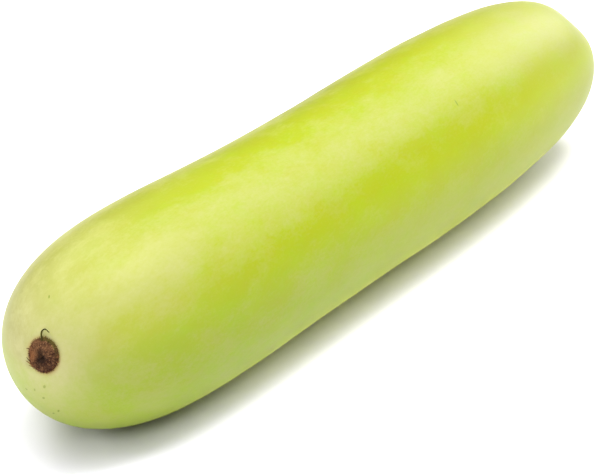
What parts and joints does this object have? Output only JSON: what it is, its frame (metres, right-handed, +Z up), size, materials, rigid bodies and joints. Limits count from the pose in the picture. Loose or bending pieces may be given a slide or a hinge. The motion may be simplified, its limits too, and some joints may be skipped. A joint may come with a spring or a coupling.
{
  "type": "bottle gourd",
  "caption": "Long smooth bottle gourd lying on its side, with a corky blossom scar on one blunt end and a short cut stem on the other.",
  "frame": {"origin": "on the surface that the gourd lies on, under the middle of the whole part's box", "axes": "+X along the gourd from the blossom end to the stem end, +Z up from the surface, +Y to its far side in the picture"},
  "size_m": [0.4308, 0.0864, 0.0841],
  "materials": {
    "rind": "smooth waxy yellow-green rind with pale clouds, satin",
    "scar_cork": "rough brown cork with withered fibres, matte",
    "stem": "ridged green stalk, drying at the cut, matte"
  },
  "bodies": {
    "root": {"gourd_body": "rind", "blossom_scar": "scar_cork", "stem_stub": "stem"}
  },
  "joints": []
}
